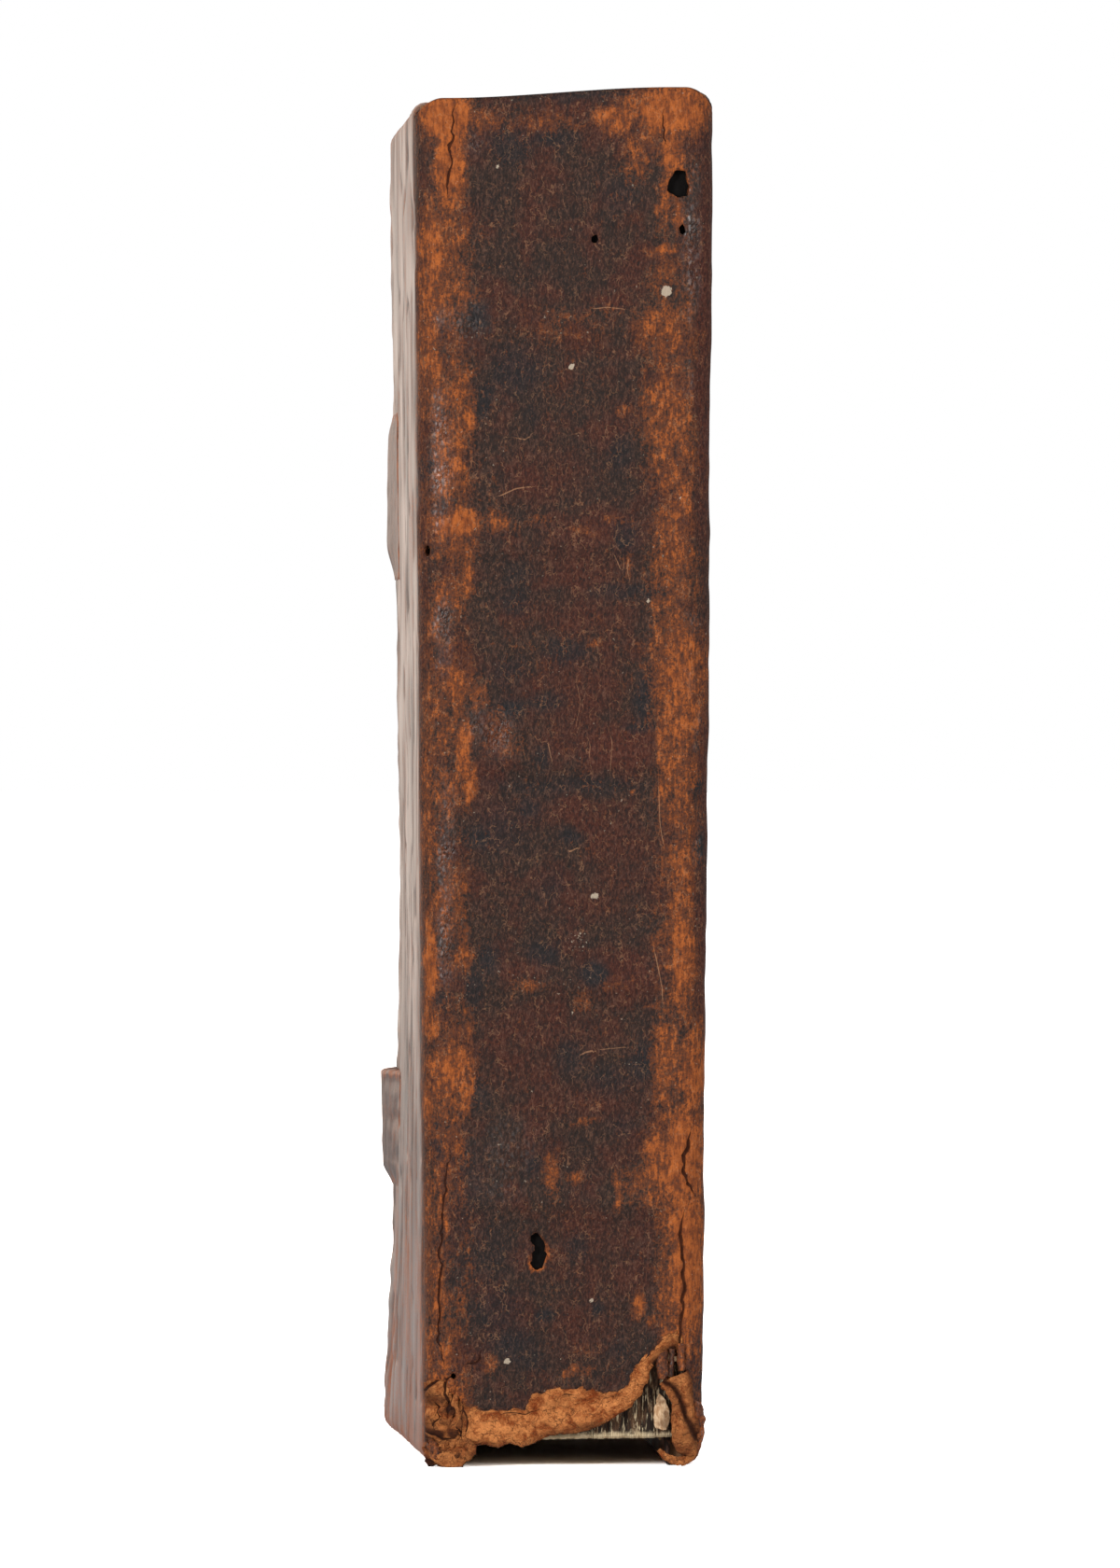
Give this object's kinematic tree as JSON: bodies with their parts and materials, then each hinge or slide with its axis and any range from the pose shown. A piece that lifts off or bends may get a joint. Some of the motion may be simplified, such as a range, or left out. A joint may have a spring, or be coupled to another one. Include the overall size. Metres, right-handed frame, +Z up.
{
  "type": "antique leather book",
  "caption": "Old book bound in full leather over wooden boards, with two hinged covers, low spine bands and a torn tail.",
  "frame": {"origin": "middle of the foot: the centre of the bounding box on the surface the book stands on", "axes": "+Z up from tail to head, spine towards -Y, fore-edge towards +Y, front cover towards +X"},
  "size_m": [0.045, 0.1274, 0.1971],
  "materials": {
    "leather": "worn, dark brown with tan wear",
    "paper_leaves": "aged, toned edges",
    "endpaper": "aged, matt",
    "lining": "glue-stained",
    "cord": "twisted hemp",
    "thread": "wrapped linen thread",
    "board_wood": "old oak"
  },
  "bodies": {
    "text_and_spine": {"text_block": "paper_leaves", "front_flyleaf": "endpaper", "back_flyleaf": "endpaper", "spine_leather": "leather", "head_endband": "thread", "tail_lining_scrap": "lining", "sewing_cord_1": "cord", "sewing_cord_2": "cord", "sewing_cord_3": "cord", "sewing_cord_4": "cord", "sewing_cord_5": "cord", "spine_lining_1": "lining", "spine_lining_2": "lining", "spine_lining_3": "lining", "spine_lining_4": "lining", "spine_lining_5": "lining", "spine_lining_6": "lining"},
    "front_cover": {"front_board": "board_wood", "front_leather": "leather", "front_pastedown": "endpaper", "front_cord_slip_1": "cord", "front_cord_slip_2": "cord", "front_cord_slip_3": "cord", "front_cord_slip_4": "cord", "front_cord_slip_5": "cord"},
    "back_cover": {"back_board": "board_wood", "back_leather": "leather", "back_pastedown": "endpaper", "back_cord_slip_1": "cord", "back_cord_slip_2": "cord", "back_cord_slip_3": "cord", "back_cord_slip_4": "cord", "back_cord_slip_5": "cord", "upper_strap_stub": "leather", "lower_strap_stub": "leather"}
  },
  "joints": [
    {"name": "front_cover_hinge", "type": "hinge", "parent": "text_and_spine", "child": "front_cover", "pos_m": [0.0208, -0.05733, 0], "axis": [-0.0079, 0, -1], "range_deg": [0, 170]},
    {"name": "back_cover_hinge", "type": "hinge", "parent": "text_and_spine", "child": "back_cover", "pos_m": [-0.0188, -0.05733, 0], "axis": [-0.0079, 0, 1], "range_deg": [0, 170]}
  ]
}
